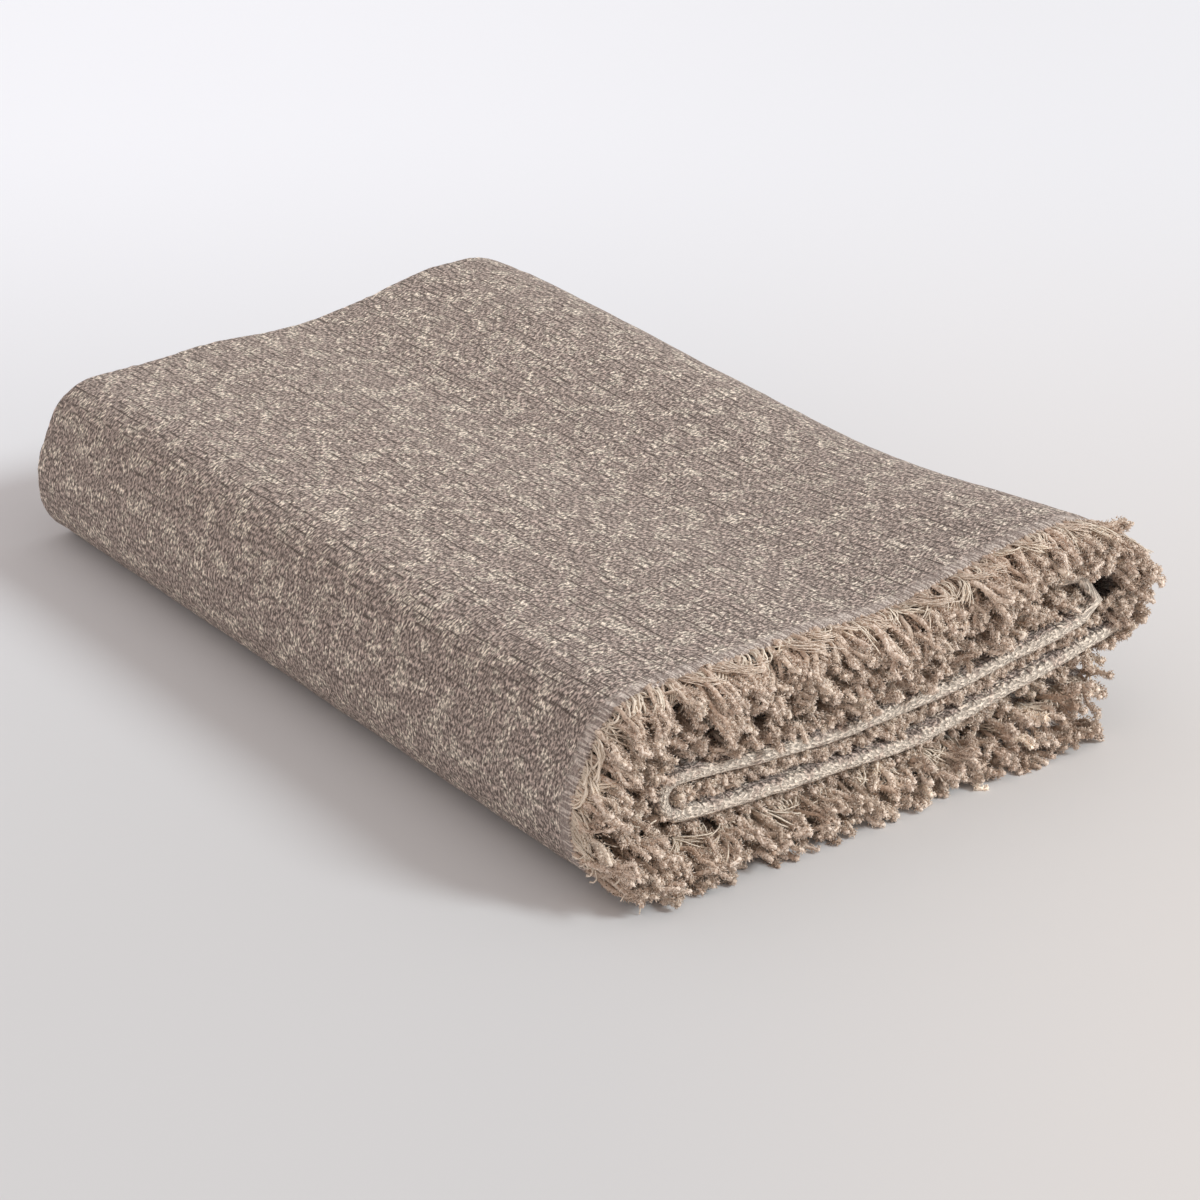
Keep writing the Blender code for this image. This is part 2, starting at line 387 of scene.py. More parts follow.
def cloth_profile(path, stations):
    """The cloth's middle through its layers and bends, at every station.

    Gives four arrays of stations by columns: x, depth, and the normal's x and depth.
    """
    pitch = column(PITCH, path.row(stations))
    bend_out = column(BEND_OUT, path.row(stations))
    radius = pitch / 2
    wander = [END_WANDER * Waves(20 + end, END_WANDER_SIZE, 1)(stations, 0) for end in range(4)]
    columns = []
    for layer in range(LAYERS):
        way = -1 if layer % 2 == 0 else 1
        far = FAR_END + radius + wander[layer // 2]
        if layer in (OUTERMOST, INNERMOST):
            near = NEAR_END + wander[2 + layer // 2] * CUT_WANDER
            edge = [near - step for step in EDGE_STEPS]
        else:
            near = NEAR_END + bend_out - radius + wander[2] * np.minimum(bend_out / FULL_BEND_OUT, 1)
            edge = [near]
        if layer == OUTERMOST:
            shares = np.arange(SHOWN_SPANS - 1, 0, -1) / SHOWN_SPANS
        else:
            shares = HIDDEN_SHARES[::-1]
        inner = [far + (near - far) * share for share in shares]
        run = edge + inner + [far]
        for x in run if way == -1 else run[::-1]:
            columns.append((x, layer * pitch, 0 * x, way + 0 * x))
        if layer == INNERMOST:
            break
        turn_x = far if way == -1 else near
        for step in range(1, BEND_STEPS):
            angle = math.pi * step / BEND_STEPS
            sine, cosine = math.sin(angle), math.cos(angle)
            depth = layer * pitch + radius * (1 - cosine)
            columns.append((turn_x + way * radius * sine, depth, -sine + 0 * far, way * cosine + 0 * far))
    return [np.stack([entry[part] for entry in columns], axis=1) for part in range(4)]


def rounding(distance):
    """Share of the full thickness that the cloth has at a distance from its cut edge."""
    half = CLOTH_THICKNESS / 2
    return np.sqrt(np.clip(1 - (1 - distance / half).clip(0, 1) ** 2, 0.02, 1))


def sheet_faces(rows, columns):
    """Quads of two grids of points, one for each side of a sheet, and of the rim between them."""
    side = rows * columns
    at = np.arange(side).reshape(rows, columns)
    quads = np.stack([at[:-1, :-1], at[:-1, 1:], at[1:, 1:], at[1:, :-1]], axis=-1).reshape(-1, 4)
    rim = np.concatenate([at[0, :], at[1:, -1], at[-1, -2::-1], at[-2:0:-1, 0]])
    after = np.roll(rim, -1)
    rim_quads = np.stack([after, rim, rim + side, after + side], axis=-1)
    return np.concatenate([quads, quads[:, ::-1] + side, rim_quads])


def make_cloth(path, material):
    """The whole cloth as one closed folded sheet, with its weave coordinates and where it is bent."""
    stations = cloth_stations(path)
    x, depth, normal_x, normal_depth = cloth_profile(path, stations)
    along = np.broadcast_to(stations[:, None], x.shape)
    steps = np.hypot(np.diff(x, axis=1), np.diff(depth, axis=1))
    length = np.concatenate([np.zeros((len(x), 1)), np.cumsum(steps, axis=1)], axis=1)
    total = length[:, -1:]

    relief = RELIEF * Waves(31, *RELIEF_SIZE)(length, along)
    relief = relief + NAP * np.random.default_rng(32).uniform(-1, 1, x.shape)
    edge_distance = np.minimum(np.minimum(length, total - length), np.minimum(along, path.length - along))
    half = CLOTH_THICKNESS / 2 * rounding(edge_distance)

    sides = []
    for side in (1, -1):
        stand = relief + side * half
        sides.append(in_space(path, along, x + normal_x * stand, depth + normal_depth * stand))
    points = np.concatenate([grid.reshape(-1, 3) for grid in sides])
    points[:, 2] = points[:, 2].clip(0)

    rows, columns = x.shape
    piece = make_mesh("cloth", points, sheet_faces(rows, columns).tolist(), material)
    turn_faces_out(piece)
    near_bend = np.abs(normal_x) * (x > 0)
    open_weave = near_bend.clip(0, 1).reshape(-1)
    finer = steps * (1 + BEND_FINENESS * near_bend[:, 1:])
    woven = np.concatenate([np.zeros((len(x), 1)), np.cumsum(finer, axis=1)], axis=1)
    weave = np.stack([woven, along, 0 * length], axis=-1).reshape(-1, 3) / MM
    to_edge = np.minimum(length, total - length).reshape(-1) / MM
    add_attribute(piece, "weave", "FLOAT_VECTOR", np.concatenate([weave, weave + OTHER_SIDE]))
    add_attribute(piece, "bent", "FLOAT", np.tile(open_weave, 2))
    add_attribute(piece, "to_edge", "FLOAT", np.tile(to_edge, 2))
    return piece


# ---- meshes ----


def add_object(name, data):
    made = bpy.data.objects.new(name, data)
    bpy.context.scene.collection.objects.link(made)
    return made


def make_mesh(name, points, faces, material):
    """A smooth mesh object."""
    mesh = bpy.data.meshes.new(name)
    mesh.from_pydata(points.tolist(), [], faces)
    mesh.shade_smooth()
    mesh.materials.append(material)
    return add_object(name, mesh)


def turn_faces_out(piece):
    shape = bmesh.new()
    shape.from_mesh(piece.data)
    bmesh.ops.recalc_face_normals(shape, faces=shape.faces)
    shape.to_mesh(piece.data)
    shape.free()


def add_attribute(piece, name, kind, values):
    attribute = piece.data.attributes.new(name, kind, "POINT")
    attribute.data.foreach_set("vector" if kind == "FLOAT_VECTOR" else "value", values.ravel())


def tube_frames(lines):
    """Directions of lines at their points, and two directions square to each, without twist."""
    ways = np.gradient(lines, axis=1)
    ways /= np.linalg.norm(ways, axis=2, keepdims=True)
    first = np.cross(ways[:, 0], (0.0, 0.31, 0.95))
    acrosses = [first / np.linalg.norm(first, axis=1, keepdims=True)]
    for ring in range(1, lines.shape[1]):
        way = ways[:, ring]
        across = acrosses[-1] - way * (acrosses[-1] * way).sum(axis=1, keepdims=True)
        acrosses.append(across / np.linalg.norm(across, axis=1, keepdims=True))
    across = np.stack(acrosses, axis=1)
    return ways, across, np.cross(ways, across)


def tubes(lines, radii):
    """Closed round tubes along many lines, which are strands by rings by 3; radii has sides as well.

    Gives points by strand, faces within a strand, and how far along its strand each point is.
    """
    strands, rings, sides = radii.shape
    ways, across, other = tube_frames(lines)
    angles = np.arange(sides)[:, None] * 2 * math.pi / sides
    spokes = across[:, :, None] * np.cos(angles) + other[:, :, None] * np.sin(angles)
    tube = (lines[:, :, None] + spokes * radii[..., None]).reshape(strands, -1, 3)
    root = lines[:, :1] - ways[:, :1] * radii[:, :1, :1] * ROOT_CAP
    tip = lines[:, -1:] + ways[:, -1:] * radii[:, -1:, :1] * TIP_CAP
    at = np.arange(rings * sides).reshape(rings, sides)
    turn = np.roll(at, -1, axis=1)
    quads = np.stack([at[:-1], turn[:-1], turn[1:], at[1:]], axis=-1).reshape(-1, 4)
    first, last = rings * sides, rings * sides + 1
    caps = [(first, after, before) for before, after in zip(at[0], turn[0])]
    caps += [(last, before, after) for before, after in zip(at[-1], turn[-1])]
    share = np.append(np.repeat(np.linspace(0, 1, rings), sides), (0, 1))
    share = np.broadcast_to(share, (strands, len(share)))
    return np.concatenate([tube, root, tip], axis=1), [quads, np.array(caps)], share


def pile(rng, lines):
    """Fibres that stand round each yarn, as small closed spikes.

    Gives points by strand, faces within a strand, and how far along its strand each point is.
    """
    strands, rings = lines.shape[:2]
    ways, across, other = tube_frames(lines)
    share = rng.beta(2.0, 0.8, (strands, PILE_FIBRES)) * (rings - 1)
    low = np.minimum(share.astype(int), rings - 2)
    part = (share - low)[..., None]
    strand = np.arange(strands)[:, None]

    def read(values):
        return values[strand, low] * (1 - part) + values[strand, low + 1] * part

    way, centre = read(ways), read(lines)
    angle = rng.uniform(0, 2 * math.pi, (strands, PILE_FIBRES, 1))
    out = read(across) * np.cos(angle) + read(other) * np.sin(angle)
    at_tip = smooth_step(share, rings - 2.0, rings - 1)[..., None]
    tilt = np.radians(rng.uniform(5, 80, part.shape) * (1 - 0.3 * at_tip))
    lift = way * np.cos(tilt) + out * np.sin(tilt) + rng.normal(0, 0.35, way.shape)
    lift /= np.linalg.norm(lift, axis=2, keepdims=True)
    thick = rng.uniform(*PILE_SPREAD, part.shape) * (1 - 0.25 * at_tip)
    base = centre + out * thick - way * PILE_SETBACK
    tip = base + lift * rng.uniform(*PILE_LENGTH, part.shape) * (1 - 0.25 * at_tip)
    side = np.cross(lift, way + (0.1, 0.2, 0.3))
    side /= np.linalg.norm(side, axis=2, keepdims=True)
    other_side = np.cross(lift, side)
    corners = [tip]
    for turn in range(3):
        angle = turn * 2 * math.pi / 3
        corners.append(base + (side * math.cos(angle) + other_side * math.sin(angle)) * PILE_HALF_WIDTH)
    points = np.stack(corners, axis=2).reshape(strands, -1, 3)
    shifts = np.arange(PILE_FIBRES)[:, None, None] * FIBRE_POINTS
    faces = (np.array(FIBRE_FACES)[None] + shifts).reshape(-1, 3)
    return points, [faces], np.repeat(share / (rings - 1), FIBRE_POINTS, axis=1)


def make_strands(name, rng, forms, cream, shade, material):
    """One mesh of many strands, with attributes for how beige and how light they are; the lightness holds
    painted shade towards the strands' roots.

    Each form is points by strand, kinds of faces within a strand, how far along its strand each
    point is, and how unevenly light it is, a fibre's points at a time.
    """
    points, faces, creams, shades, start = [], [], [], [], 0
    for places, kinds, share, uneven in forms:
        strands, size = places.shape[:2]
        shifts = start + np.arange(strands)[:, None, None] * size
        for kind in kinds:
            faces += (kind + shifts).reshape(-1, kind.shape[1]).tolist()
        points.append(places.reshape(-1, 3))
        creams.append(np.repeat(cream, size))
        spots = rng.uniform(-uneven, uneven, (strands, math.ceil(size / FIBRE_POINTS)))
        spots = spots.repeat(FIBRE_POINTS, axis=1)
        # painted shade: each point is darkened towards its strand's root and lightened at its tip
        depth = ROOT_PAINTED_SHADE + (TIP_PAINTED_LIGHT - ROOT_PAINTED_SHADE) * share
        shades.append((shade[:, None] * depth * (1 + spots[:, :size])).ravel())
        start += strands * size
    points = np.concatenate(points)
    points[:, 2] = points[:, 2].clip(LEAST_HEIGHT)
    piece = make_mesh(name, points, faces, material)
    add_attribute(piece, "cream", "FLOAT", np.concatenate(creams))
    add_attribute(piece, "shade", "FLOAT", np.concatenate(shades))
    return piece


# ---- fringe ----


def directions_at(path, along, layer):
    """The path's direction and the outward normal of a layer's fringe, in space."""
    way_y, way_z = path.way(along)
    zero = np.zeros_like(way_y)
    outward = -1 if layer == OUTERMOST else 1
    onward = np.stack([zero, way_y, way_z], axis=-1)
    return onward, np.stack([zero, way_z, -way_y], axis=-1) * outward


def room_outside(path, along, layer):
    """How far a fringed layer is from the next fringe that it faces, at most WIDEST_GAP."""
    marks = np.arange(0, path.length, MARK_STEP)
    here = in_space(path, along, NEAR_END, layer * column(PITCH, path.row(along)))
    onward, outer = directions_at(path, along, layer)
    room = np.full(len(along), WIDEST_GAP)
    for other in (OUTERMOST, INNERMOST):
        there = in_space(path, marks, NEAR_END, other * column(PITCH, path.row(marks)))
        between = there[None] - here[:, None]
        height = (between * outer[:, None]).sum(axis=2)
        beside = np.abs((between * onward[:, None]).sum(axis=2))
        faces = (beside < MARK_STEP) & (height > LEAST_GAP)
        if other == layer:
            faces &= np.abs(marks[None] - along[:, None]) > SAME_FOLD
        room = np.minimum(room, np.where(faces, height, WIDEST_GAP).min(axis=1))
    return room


def strand_lines(path, layer, along, lengths, turns, lean, pull, offset, shares, root_x):
    """Centre lines of strands that leave the cloth's edge along X and bend away.

    turns is how far a strand's direction turns on its way, and lean the direction that it turns
    to, as parts of the path's direction, of the layer's outward normal and of down. pull is how
    far its tip moves along the path, and offset how far it moves outward.
    """
    start = in_space(path, along, root_x, layer * column(PITCH, path.row(along)))
    onward, outer = directions_at(path, along, layer)
    side = onward * lean[:, :1] + outer * lean[:, 1:2] + np.array([0, 0, -1.0]) * lean[:, 2:]
    side /= np.linalg.norm(side, axis=1, keepdims=True)
    steps = np.diff(shares, prepend=0)
    angles = turns[:, None] * (shares - steps / 2) ** 1.2
    forward = np.cos(angles)[..., None] * np.array([1.0, 0, 0])
    sideways = np.sin(angles)[..., None] * side[:, None]
    walk = np.cumsum((forward + sideways) * (steps * lengths[:, None])[..., None], axis=1)
    pulled = onward[:, None] * (pull[:, None] * shares**1.5)[..., None]
    moved = outer[:, None] * (offset[:, None] * shares**0.7)[..., None]
    return start[:, None] + walk + pulled + moved


class Clumps:
    """The clumps that neighbouring strands gather into, along an edge."""

    def __init__(self, rng, along, length):
        steps = CLUMP_SIZE * rng.uniform(0.5, 1.6, int(length / CLUMP_SIZE * 2))
        places = np.cumsum(steps)
        self.places = places[places < length]
        self.nearest = np.abs(along[:, None] - self.places[None]).argmin(axis=1)
        self.rng = rng

    def middle(self):
        """Where the middle of each strand's clump is."""
        return self.places[self.nearest]

    def random(self, middle, spread):
        """A random value for each strand, the same within a clump."""
        return self.rng.normal(middle, spread, len(self.places))[self.nearest]

    def chosen(self, chance):
        """Whether each strand is in one of a few random clumps."""
        return (self.rng.uniform(0, 1, len(self.places)) < chance)[self.nearest]


def wobble(rng, count, rings, size, turns=4):
    """Slow random sideways moves along each strand, none at its root."""
    knots = rng.normal(0, size, (count, turns + 1, 3))
    knots[:, 0] = 0
    at = np.linspace(0, turns, rings)
    low = np.minimum(np.floor(at).astype(int), turns - 1)
    part = smooth_step(at - low, 0, 1)[None, :, None]
    return knots[:, low] * (1 - part) + knots[:, low + 1] * part


def yarn_lines(rng, path, layer, along, clumps):
    """Centre lines of the yarns of one fringed edge.

    Over the top and the outer wall they droop, some swept along the edge. Beside the near bends
    they are short, and elsewhere they fill the strip and the gap outside it.
    """
    count = len(along)
    row = path.row(along)
    droop = column(DROOP, row) * (layer == OUTERMOST) / FULL_DROOP
    beside_bend = smooth_step(column(BEND_OUT, row), *BESIDE_BEND)
    room = room_outside(path, along, layer)
    free = room >= WIDEST_GAP

    lengths = column(FRINGE, row) * clumps.random(1, 0.07) * rng.normal(1, 0.08, count).clip(0.7, 1.2)
    lengths = lengths * (1 + droop * clumps.random(0.1, 0.15).clip(-0.2, 0.5) - 0.3 * beside_bend)
    turns = np.abs(clumps.random(0, 16) + rng.normal(0, 15, count)) * (1 - 0.6 * droop)
    turns += droop * (clumps.random(38, 16) + rng.normal(0, 16, count))
    outward_lean = rng.normal(0, 0.6, count)
    lean = np.stack([
        (clumps.random(0, 0.8) + rng.normal(0, 0.8, count)) * (1 - 0.5 * droop),
        np.where(free, -0.2 - np.abs(outward_lean), outward_lean) * (1 - droop),
        rng.normal(0.4, 0.6, count) * (1 - droop) + droop,
    ], axis=1)
    swept = clumps.chosen(0.08) & (droop > 0.5)
    turns = np.radians(np.where(swept, rng.normal(80, 8, count), turns))
    lean[swept] = np.stack([clumps.random(1.3, 0.2), clumps.random(0.5, 0.2), 0 * row], axis=1)[swept]
    pull = (clumps.middle() - along) * clumps.random(0.25, 0.2).clip(0, 0.6)
    inward = 0.5 * (LAYERS - 1) * column(PITCH, row) * (1 - beside_bend)
    outward = np.where(free, FREE_SPREAD, room * 0.6)
    offset = rng.uniform(-inward, outward)

    root_x = NEAR_END - YARN_ROOT
    lines = strand_lines(path, layer, along, lengths, turns, lean, pull, offset, YARN_SHARES, root_x)
    return lines + wobble(rng, count, YARN_RINGS, YARN_WOBBLE, turns=5)


def make_yarns(path, layer, name, material):
    """The chenille yarn ends of one fringed edge, which gather in clumps, as a few joined meshes."""
    rng = np.random.default_rng(100 + layer)
    count = int(path.length / YARN_PITCH)
    along = (np.arange(count) + 0.5 + rng.uniform(-0.45, 0.45, count)) * YARN_PITCH
    along = along.clip(YARN_INSET, path.length - YARN_INSET)
    clumps = Clumps(rng, along, path.length)
    lines = yarn_lines(rng, path, layer, along, clumps)
    radius = YARN_RADIUS * rng.normal(1, 0.12, count).clip(0.7, 1.3)
    lines[..., 2] = np.maximum(lines[..., 2], radius[:, None])

    rough = 1 + rng.normal(0, 0.2, (count, YARN_RINGS, YARN_SIDES))
    shape = 1 - 0.3 * smooth_step(YARN_SHARES, 0.86, 1)
    radii = (radius[:, None] * shape)[..., None] * rough
    cream = rng.beta(1.2, 6, count)
    contrast = 1 + 0.9 * smooth_step(path.row(along), 2.2, 1.6)  # more on the bottom level
    shade = 1 + (clumps.random(1, 0.1) * rng.normal(1, 0.13, count) - 1).clip(-0.3, 0.3) * contrast

    pieces = []
    for part, share in enumerate(np.array_split(np.arange(count), PIECES_PER_EDGE)):
        forms = [(*tubes(lines[share], radii[share]), 0), (*pile(rng, lines[share]), 0.3)]
        title = f"{name}_{part + 1}"
        pieces.append(make_strands(title, rng, forms, cream[share], shade[share], material))
    return pieces


# Runs of fine threads along the fringed edges, in bunches:
# layer     which of the two fringed layers the run is on
# rows      fold rows where the run starts and ends
# spacing   of the bunches, in millimetres
# most      threads in a bunch
# turn      range of degrees that a thread's direction turns
# lean      what it turns to, along the path and outward, besides down
# lift      least distance outward that it moves, in millimetres
# beige     how beige it is, from the yarns' taupe at 0 to 1
# thick     its radius as a share of THREAD_RADIUS
RUNS = (
    # curls on the outer wall
    dict(layer=OUTERMOST, rows=(2.1, 3.4), spacing=3.2, most=13, turn=(90, 200), lean=(0, -0.75),
         lift=3.5, beige=0.9, thick=1.5),
    # curls over the top's left part, and then looser ones over the rest of it
    dict(layer=OUTERMOST, rows=(3.4, 5.4), spacing=7, most=10, turn=(90, 190), lean=(0, 0),
         lift=3.5, beige=0.9, thick=1.3),
    dict(layer=OUTERMOST, rows=(5.4, 8.9), spacing=12, most=14, turn=(60, 130), lean=(0, 0.2),
         lift=3.5, beige=0.9, thick=1.0),
    # tufts that lie combed along the top edge
    dict(layer=OUTERMOST, rows=(4.2, 8.7), spacing=24, most=28, turn=(70, 95), lean=(2.4, 0.2),
         lift=3.5, beige=0.3, thick=0.8),
    # curls on the bottom level
    dict(layer=INNERMOST, rows=(0.0, 2.3), spacing=9, most=12, turn=(80, 150), lean=(0, 0.3),
         lift=7.0, beige=0.9, thick=1.2),
)


def thread_lines(rng, path, run):
    """Centre lines of the threads of one run."""
    first, last = [path.where(row) for row in run["rows"]]
    places = np.arange(first, last, run["spacing"] * MM)
    places = places + rng.uniform(-0.6, 0.6, len(places)) * run["spacing"] * MM
    sizes = rng.integers(run["most"] // 4, run["most"] + 1, len(places))
    bunch = np.repeat(np.arange(len(places)), sizes)
    count = len(bunch)
    half_width = rng.uniform(*BUNCH_HALF_WIDTH, len(places))[bunch] * MM
    along = places[bunch] + half_width * rng.uniform(-1, 1, count)
    along = along.clip(THREAD_INSET, path.length - THREAD_INSET)
    turns = rng.uniform(*run["turn"], len(places))[bunch] + rng.normal(0, 8, count)
    onward, outward = run["lean"]
    lean = np.stack([
        onward + rng.normal(0, 0.8, len(places))[bunch] + rng.normal(0, 0.15, count),
        rng.normal(outward, 0.2, count),
        np.ones(count),
    ], axis=1)
    lengths = column(FRINGE, path.row(along)) * rng.uniform(0.6, 1.05, len(places))[bunch]
    lengths = lengths * rng.normal(1, 0.1, count)
    offset = (run["lift"] + rng.uniform(0, 2.5, count)) * MM
    shares = np.linspace(0, 1, THREAD_RINGS)
    root_x = NEAR_END - THREAD_ROOT
    turns = np.radians(turns)
    pull = np.zeros(count)
    lines = strand_lines(path, run["layer"], along, lengths, turns, lean, pull, offset, shares, root_x)
    return lines + wobble(rng, count, THREAD_RINGS, THREAD_WOBBLE)


def make_threads(path, material):
    """The fine threads, in bunches that curl over an edge or lie combed along it."""
    rng = np.random.default_rng(7)
    all_lines, all_radii, creams = [], [], []
    for run in RUNS:
        lines = thread_lines(rng, path, run)
        count = len(lines)
        radius = THREAD_RADIUS * run["thick"] * rng.normal(1, 0.15, count).clip(0.6, 1.5)
        lines[..., 2] = np.maximum(lines[..., 2], radius[:, None])
        all_lines.append(lines)
        all_radii.append(np.broadcast_to(radius[:, None, None], (count, THREAD_RINGS, THREAD_SIDES)))
        creams.append(run["beige"] * rng.uniform(0.8, 1.1, count))
    places, kinds, share = tubes(np.concatenate(all_lines), np.concatenate(all_radii))
    creams = np.concatenate(creams)
    shade = rng.normal(1, 0.12, len(creams))
    # the threads get a milder painted shade at their roots
    forms = [(places, kinds, 0.3 + 0.7 * share, 0)]
    return make_strands("fringe_threads", rng, forms, creams, shade, material)


# ---- materials ----


def new_material(name):
    """A material, its node tree and its Principled BSDF."""
    material = bpy.data.materials.new(name)
    material.use_nodes = True
    return material, material.node_tree, material.node_tree.nodes["Principled BSDF"]


def set_inputs(tree, made, inputs):
    """Sets or links a node's inputs."""
    for name, value in inputs.items():
        if isinstance(value, bpy.types.NodeSocket):
            tree.links.new(value, made.inputs[name])
        else:
            made.inputs[name].default_value = value


def node(tree, kind, inputs, output=0, **settings):
    """Adds a shader node, sets or links its inputs, and gives one of its outputs."""
    made = tree.nodes.new(kind)
    for name, value in settings.items():
        setattr(made, name, value)
    set_inputs(tree, made, inputs)
    return made.outputs[output]


def calculate(tree, operation, first, second=0.0, third=1.0):
    return node(tree, "ShaderNodeMath", {0: first, 1: second, 2: third}, operation=operation)


def ramp(tree, value, low, high, to_low=0.0, to_high=1.0):
    """A smooth step from to_low to to_high as value goes from low to high."""
    inputs = {"Value": value, "From Min": low, "From Max": high, "To Min": to_low, "To Max": to_high}
    return node(tree, "ShaderNodeMapRange", inputs, interpolation_type="SMOOTHSTEP")


def noise(tree, vector, detail=2.0, roughness=0.5):
    inputs = {"Vector": vector, "Scale": 1.0, "Detail": detail, "Roughness": roughness}
    return node(tree, "ShaderNodeTexNoise", inputs)


def stretched(tree, vector, sizes):
    """Coordinates whose unit is a cell of the given sizes."""
    share = tuple(1 / size for size in sizes)
    return node(tree, "ShaderNodeVectorMath", {0: vector, 1: share}, operation="MULTIPLY")


def mixed(tree, share, first, second):
    inputs = {0: share, 6: first, 7: second}
    return node(tree, "ShaderNodeMix", inputs, 2, data_type="RGBA")


def scaled_colour(tree, colour, factor):
    return node(tree, "ShaderNodeVectorMath", {0: colour, "Scale": factor}, operation="SCALE")


def attribute(tree, name, output):
    return node(tree, "ShaderNodeAttribute", {}, output, attribute_name=name)


def bump(tree, height, distance):
    inputs = {"Height": height, "Strength": 1.0, "Distance": distance}
    return node(tree, "ShaderNodeBump", inputs)


def furrows(tree, weave):
    """Where the furrows between the ribs lie, one every RIB_PITCH, that come and go, with painted shade
    in them that shows most on top.
    """
    across = node(tree, "ShaderNodeSeparateXYZ", {"Vector": weave}, "Y")
    drift = calculate(tree, "MULTIPLY", noise(tree, stretched(tree, weave, RIB_DRIFT_CELL)), RIB_PITCH)
    phase = calculate(tree, "ADD", across, drift)
    phase = calculate(tree, "MULTIPLY", phase, 2 * math.pi / RIB_PITCH)
    depth = ramp(tree, calculate(tree, "SINE", phase), 0.70, 0.95)
    breaks = noise(tree, stretched(tree, weave, RIB_BREAK_CELL), 1.0)
    depth = calculate(tree, "MULTIPLY", depth, ramp(tree, breaks, 0.44, 0.58, 0.1, 0.9))
    # painted shade: stronger where the cloth faces up, weaker on its walls
    normal = node(tree, "ShaderNodeNewGeometry", {}, "Normal")
    upward = node(tree, "ShaderNodeSeparateXYZ", {"Vector": normal}, "Z")
    return calculate(tree, "MULTIPLY", depth, ramp(tree, upward, 0.2, 0.9, 0.6, 1.0))


def flecks(tree, weave, bent):
    """Short light strokes across the ribs, which gather in patches."""
    cells = {"Vector": stretched(tree, weave, FLECK_CELL), "Scale": 1.0}
    cells = node(tree, "ShaderNodeTexVoronoi", cells, "Color")
    cell = node(tree, "ShaderNodeSeparateColor", {"Color": cells})
    patch = noise(tree, stretched(tree, weave, FLECK_PATCH_CELL), 1.0)
    patch = calculate(tree, "MULTIPLY_ADD", bent, 0.24, patch)
    return ramp(tree, calculate(tree, "MULTIPLY_ADD", patch, 3.6, cell), 2.46, 2.72)


def make_cloth_material():
    """Taupe chenille: grainy pile, broken furrows along the panels with painted shade in them and in the
    pits, beige flecks in patches.
    """
    material, tree, shader = new_material("throw_cloth")
    weave = attribute(tree, "weave", "Vector")
    bent = attribute(tree, "bent", "Fac")
    to_edge = attribute(tree, "to_edge", "Fac")

    grain = noise(tree, stretched(tree, weave, GRAIN_CELL), 1.0, 0.6)
    grain = ramp(tree, grain, 0.36, 0.64, -1.0, 1.0)
    pits = noise(tree, stretched(tree, weave, PIT_CELL), 1.0)
    pits = ramp(tree, pits, 0.38, 0.48, 0.6, 0.0)
    # painted shade in the pits and furrows, which the bump also sinks; half as strong on the near bends
    dark = calculate(tree, "MAXIMUM", pits, furrows(tree, weave))
    dark = calculate(tree, "MULTIPLY", dark, ramp(tree, bent, 0.2, 0.8, 1.0, 0.5))

    taupe = mixed(tree, noise(tree, stretched(tree, weave, TAUPE_CELL)), TAUPE_LIGHT, TAUPE_DARK)
    taupe = mixed(tree, bent, taupe, TAUPE_BENT)
    fleck = calculate(tree, "MULTIPLY", flecks(tree, weave, bent), 0.6)
    colour = mixed(tree, fleck, taupe, FLECK)
    contrast = ramp(tree, bent, 0.2, 0.8, 0.64, 0.34)
    colour = scaled_colour(tree, colour, calculate(tree, "MULTIPLY_ADD", grain, contrast, 1.0))
    colour = mixed(tree, calculate(tree, "MULTIPLY", dark, 0.9), colour, HOLLOW_SHADE)

    rungs = ramp(tree, noise(tree, stretched(tree, weave, RUNG_CELL), 0.0), 0.48, 0.60)
    bare = mixed(tree, rungs, WARP_GAP, WARP)
    colour = mixed(tree, ramp(tree, to_edge, *BARE_BAND, 0.8, 0.0), colour, bare)

    height = calculate(tree, "SUBTRACT", calculate(tree, "MULTIPLY", grain, 0.5), dark)
    normal = bump(tree, height, CLOTH_BUMP)
    set_inputs(tree, shader, {"Base Color": colour, "Normal": normal, **FABRIC})
    return material


def make_fringe_material():
    """Loose chenille yarn: velvety taupe pile with lighter fibres and painted shade towards the roots;
    the fine threads are beige.
    """
    material, tree, shader = new_material("throw_fringe")
    cream = attribute(tree, "cream", "Fac")
    shade = attribute(tree, "shade", "Fac")
    place = node(tree, "ShaderNodeTexCoord", {}, "Object")
    place = node(tree, "ShaderNodeVectorMath", {0: place, "Scale": 1 / MM}, operation="SCALE")
    patch = noise(tree, stretched(tree, place, YARN_PATCH_CELL))
    fleck = ramp(tree, patch, 0.50, 0.64, 0.0, 0.24)
    speckle = noise(tree, stretched(tree, place, YARN_SPECKLE_CELL), 0.0)
    speckle = ramp(tree, speckle, 0.32, 0.68, 0.62, 1.3)
    # shade holds each strand's random tone and its painted shade towards the root
    tone = calculate(tree, "MULTIPLY_ADD", shade, speckle, fleck)
    colour = mixed(tree, ramp(tree, tone, 0.47, 1.38), YARN_DARK, YARN_LIGHT)
    colour = mixed(tree, cream, colour, scaled_colour(tree, BEIGE, shade))
    normal = bump(tree, speckle, YARN_BUMP)
    set_inputs(tree, shader, {"Base Color": colour, "Normal": normal, **FABRIC})
    return material


# ---- stage, light and camera ----


def along_way(tree, way):
    """How far a spot of the floor is along a direction, in metres."""
    place = node(tree, "ShaderNodeTexCoord", {}, "Object")
    return node(tree, "ShaderNodeVectorMath", {0: place, 1: way}, 1, operation="DOT_PRODUCT")


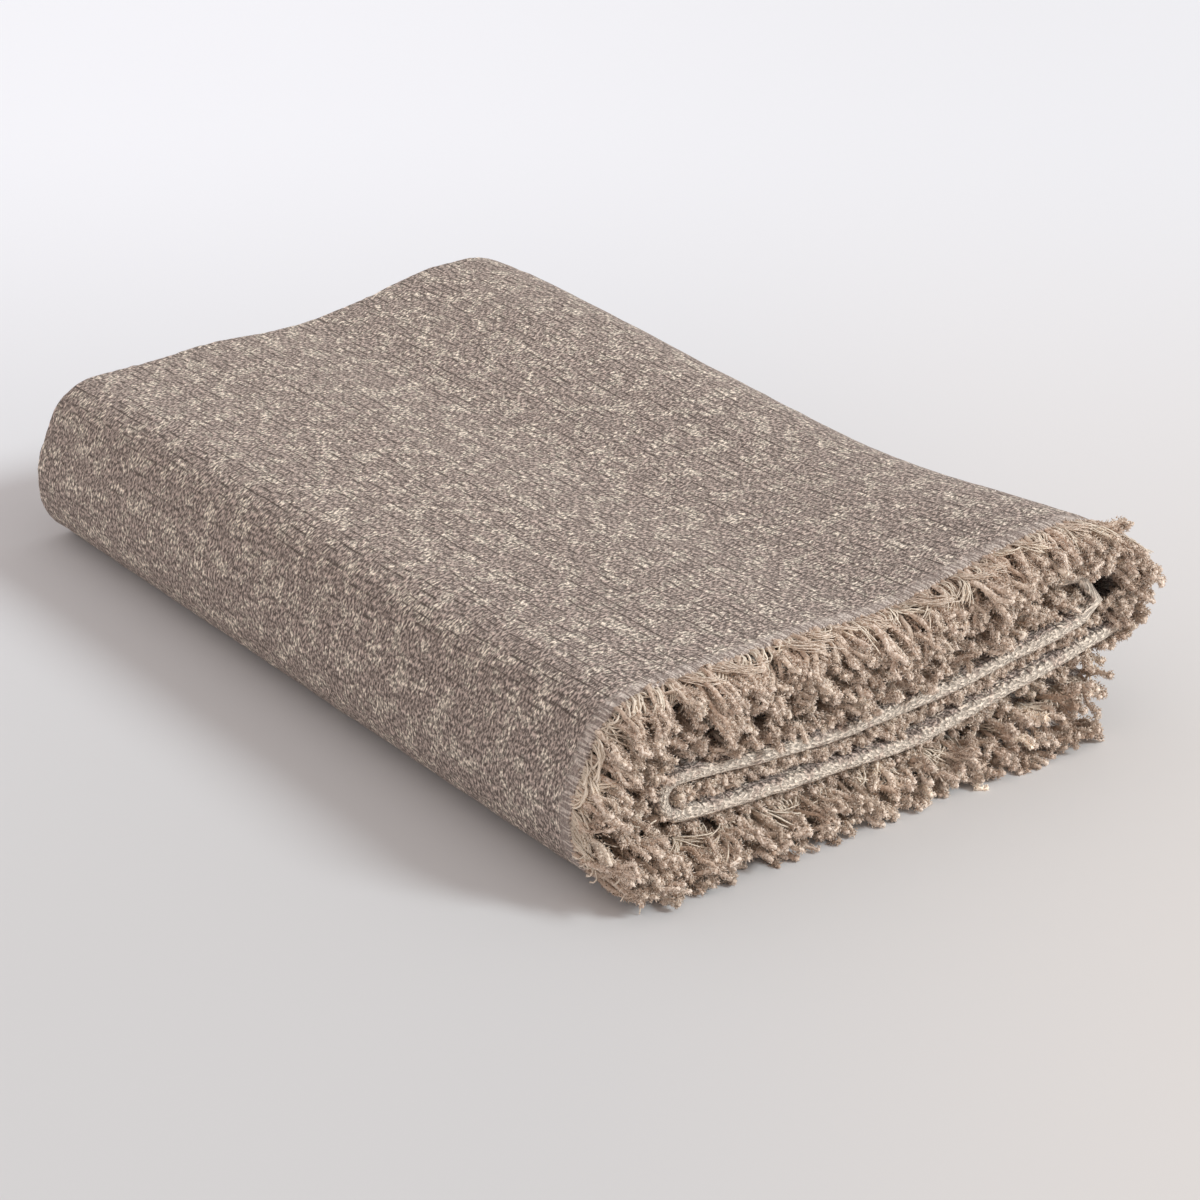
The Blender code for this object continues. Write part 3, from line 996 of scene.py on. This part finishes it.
def make_floor():
    """A pale floor with painted light: lighter and cooler towards the back, and graded from left to
    right.
    """
    material, tree, shader = new_material("floor")
    back = along_way(tree, BACKWARD)
    right = along_way(tree, RIGHTWARD)
    # painted light: the floor's colour is graded where the light falls brighter or dimmer
    near = mixed(tree, ramp(tree, right, -0.05, 0.4), *FLOOR_NEAR)
    behind = mixed(tree, ramp(tree, right, -0.6, 0.6), *FLOOR_BEHIND)
    colour = mixed(tree, ramp(tree, back, -0.5, 1.3), near, behind)
    set_inputs(tree, shader, {"Base Color": colour, "Roughness": 0.8, "Specular IOR Level": 0.1})

    half = FLOOR_SIZE / 2
    corners = [(-half, -half, 0), (half, -half, 0), (half, half, 0), (-half, half, 0)]
    mesh = bpy.data.meshes.new("floor")
    mesh.from_pydata(corners, [], [(0, 1, 2, 3)])
    mesh.materials.append(material)
    floor = add_object("floor", mesh)


def add_sun(name, way, power, spread, colour):
    """A wide, soft sun that shines from the direction of way."""
    light = bpy.data.lights.new(name, "SUN")
    light.energy = power
    light.angle = math.radians(spread)
    light.color = colour
    lamp = add_object(name, light)
    lamp.rotation_euler = Vector(way).to_track_quat("Z", "Y").to_euler()


def light_scene():
    world = bpy.data.worlds.new("studio")
    world.use_nodes = True
    background = world.node_tree.nodes["Background"]
    background.inputs["Color"].default_value = WORLD_COLOUR
    background.inputs["Strength"].default_value = 0.69
    bpy.context.scene.world = world
    add_sun("key", way=(0.72, 0.57, 0.62), power=2.1, spread=16, colour=(0.91, 0.98, 1.0))
    add_sun("fill", way=(0.15, -0.95, 0.25), power=0.2, spread=60, colour=(1.0, 0.93, 0.9))
    bpy.context.scene.view_settings.view_transform = "Standard"


def make_camera():
    lens = bpy.data.cameras.new("camera")
    lens.lens = CAMERA_LENS
    lens.sensor_width = CAMERA_SENSOR
    camera = add_object("camera", lens)
    camera.location = CAMERA_PLACE
    way = Vector(CAMERA_TARGET) - Vector(CAMERA_PLACE)
    camera.rotation_euler = way.to_track_quat("-Z", "Y").to_euler()
    bpy.context.scene.camera = camera


def main():
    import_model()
    make_camera()
    light_scene()
    make_floor()

    path = FoldPath()
    fringe_material = make_fringe_material()
    cloth = make_cloth(path, make_cloth_material())
    outer = make_yarns(path, OUTERMOST, "fringe_outer", fringe_material)
    inner = make_yarns(path, INNERMOST, "fringe_inner", fringe_material)
    threads = make_threads(path, fringe_material)

    for piece in (cloth, *outer, *inner, threads):
        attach(piece, "root")
    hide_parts("throw_cloth")
    for piece in outer:
        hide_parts("fringe_outer")
    for piece in inner:
        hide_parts("fringe_inner")


main()
